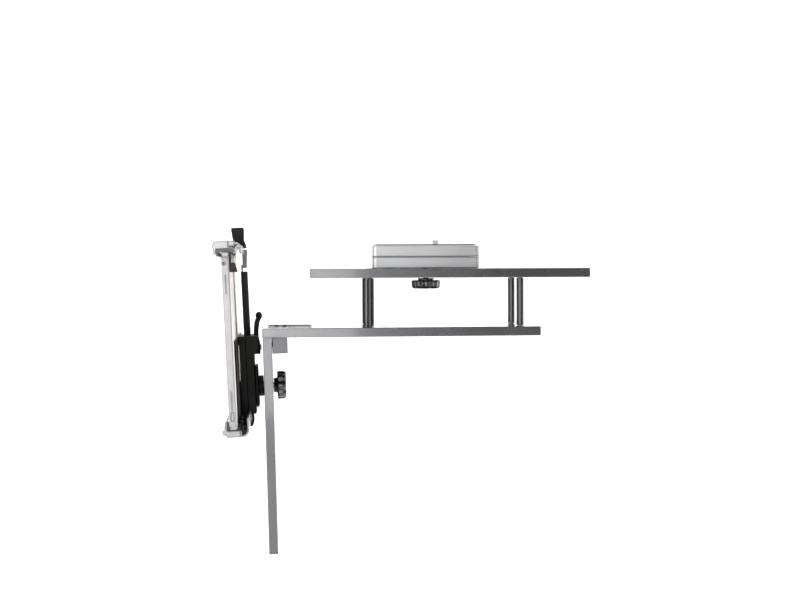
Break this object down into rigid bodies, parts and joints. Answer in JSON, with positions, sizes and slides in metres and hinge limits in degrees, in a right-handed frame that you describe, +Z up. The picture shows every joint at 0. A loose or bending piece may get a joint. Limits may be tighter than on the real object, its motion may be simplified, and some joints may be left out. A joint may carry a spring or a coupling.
{
  "type": "on-camera teleprompter",
  "caption": "Camera rail rig with posts, a riser and a slotted drop bar holding a spring-jaw clamp with a tablet below the lens.",
  "frame": {"origin": "centre of the tripod insert at the rail's underside", "axes": "+X towards the operator, -X towards the talent, +Z up, Y along the tablet's long edge"},
  "size_m": [0.3863, 0.2522, 0.34],
  "materials": {
    "black_anodised": "black anodised, fine brushing",
    "post_black": "gloss black",
    "screw_steel": "blackened steel",
    "brass": "turned",
    "knob_plastic": "gloss black",
    "holder_plastic": "fine matte grain",
    "jaw_silver": "clear anodised extrusion",
    "rubber": "matte",
    "tab_grey": "grey anodised",
    "tablet_silver": "bead-blasted, anodised",
    "screen_glass": "dark display glass over an opaque panel",
    "battery_film": "film",
    "board_green": "solder mask",
    "riser_grey": "silver-grey, brushed"
  },
  "bodies": {
    "rig": {"base_rail": "black_anodised", "camera_plate": "black_anodised", "post_front_near": "post_black", "post_front_far": "post_black", "post_rear_near": "post_black", "post_rear_far": "post_black", "post_screw_low_front_near": "screw_steel", "post_screw_low_front_far": "screw_steel", "post_screw_low_rear_near": "screw_steel", "post_screw_low_rear_far": "screw_steel", "post_screw_high_front_near": "screw_steel", "post_screw_high_front_far": "screw_steel", "post_screw_high_rear_near": "screw_steel", "post_screw_high_rear_far": "screw_steel", "tripod_insert": "brass", "clamp_strip": "post_black", "strip_screw_front": "screw_steel", "strip_screw_rear": "screw_steel", "corner_block": "black_anodised", "drop_bar": "black_anodised", "bar_screw_near": "screw_steel", "bar_screw_far": "screw_steel"},
    "stud": {"holder_stud": "screw_steel"},
    "clamp_knob": {"holder_knob": "knob_plastic"},
    "clamp": {"holder_hub": "holder_plastic", "mount_block": "holder_plastic", "body_housing": "holder_plastic", "rear_cover": "holder_plastic", "cover_screw_near": "screw_steel", "cover_screw_far": "screw_steel", "bottom_jaw": "jaw_silver", "bottom_jaw_backing": "jaw_silver", "bottom_jaw_liner": "rubber", "bottom_jaw_screw_near": "screw_steel", "bottom_jaw_screw_far": "screw_steel", "back_plate": "holder_plastic", "lower_hook": "holder_plastic", "tablet_housing": "tablet_silver", "tablet_screen": "screen_glass", "tablet_battery": "battery_film", "tablet_board": "board_green", "back_bumper": "rubber"},
    "slide": {"slide_bar": "holder_plastic", "slide_end_tab": "tab_grey", "top_jaw": "jaw_silver", "top_jaw_backing": "jaw_silver", "top_jaw_liner": "rubber", "jaw_pull_tab": "holder_plastic", "top_jaw_screw_near": "screw_steel", "top_jaw_screw_far": "screw_steel"},
    "lever": {"clamp_lever": "knob_plastic", "lever_screw": "jaw_silver"},
    "power": {"power_button": "screw_steel"},
    "volume_up": {"volume_up_button": "screw_steel"},
    "volume_down": {"volume_down_button": "screw_steel"},
    "riser": {"riser_lower": "riser_grey", "riser_upper": "riser_grey", "riser_pad": "rubber", "camera_screw": "screw_steel"},
    "riser_knob": {"camera_knob": "knob_plastic"}
  },
  "joints": [
    {"name": "clamp_height", "type": "slide", "parent": "rig", "child": "stud", "axis": [-0.0239, 0, 0.9997], "range_m": [-0.155, 0.012]},
    {"name": "clamp_knob_turn", "type": "hinge", "parent": "stud", "child": "clamp_knob", "pos_m": [-0.12722, 0, -0.05339], "axis": [0.9997, 0, 0.0239], "continuous": true},
    {"name": "clamp_roll", "type": "hinge", "parent": "stud", "child": "clamp", "pos_m": [-0.12722, 0, -0.05339], "axis": [0.9997, 0, 0.0239], "range_deg": [-90, 90]},
    {"name": "jaw_slide", "type": "slide", "parent": "clamp", "child": "slide", "axis": [-0.0431, 0, 0.9991], "range_m": [0, 0.04]},
    {"name": "lever_turn", "type": "hinge", "parent": "clamp", "child": "lever", "pos_m": [-0.13788, 0, -0.01281], "axis": [0.9991, 0, 0.0431], "range_deg": [0, 35]},
    {"name": "power_press", "type": "slide", "parent": "clamp", "child": "power", "axis": [0, 1, 0], "range_m": [0, 0.0006], "stiffness_N_per_m": 300},
    {"name": "volume_up_press", "type": "slide", "parent": "clamp", "child": "volume_up", "axis": [0, -1, 0], "range_m": [0, 0.0006], "stiffness_N_per_m": 300},
    {"name": "volume_down_press", "type": "slide", "parent": "clamp", "child": "volume_down", "axis": [0, -1, 0], "range_m": [0, 0.0006], "stiffness_N_per_m": 300},
    {"name": "riser_travel", "type": "slide", "parent": "rig", "child": "riser", "axis": [1, 0, 0], "range_m": [-0.06, 0.095]},
    {"name": "riser_knob_turn", "type": "hinge", "parent": "riser", "child": "riser_knob", "pos_m": [0.0455, 0, 0.06023], "axis": [0, 0, 1], "continuous": true}
  ]
}
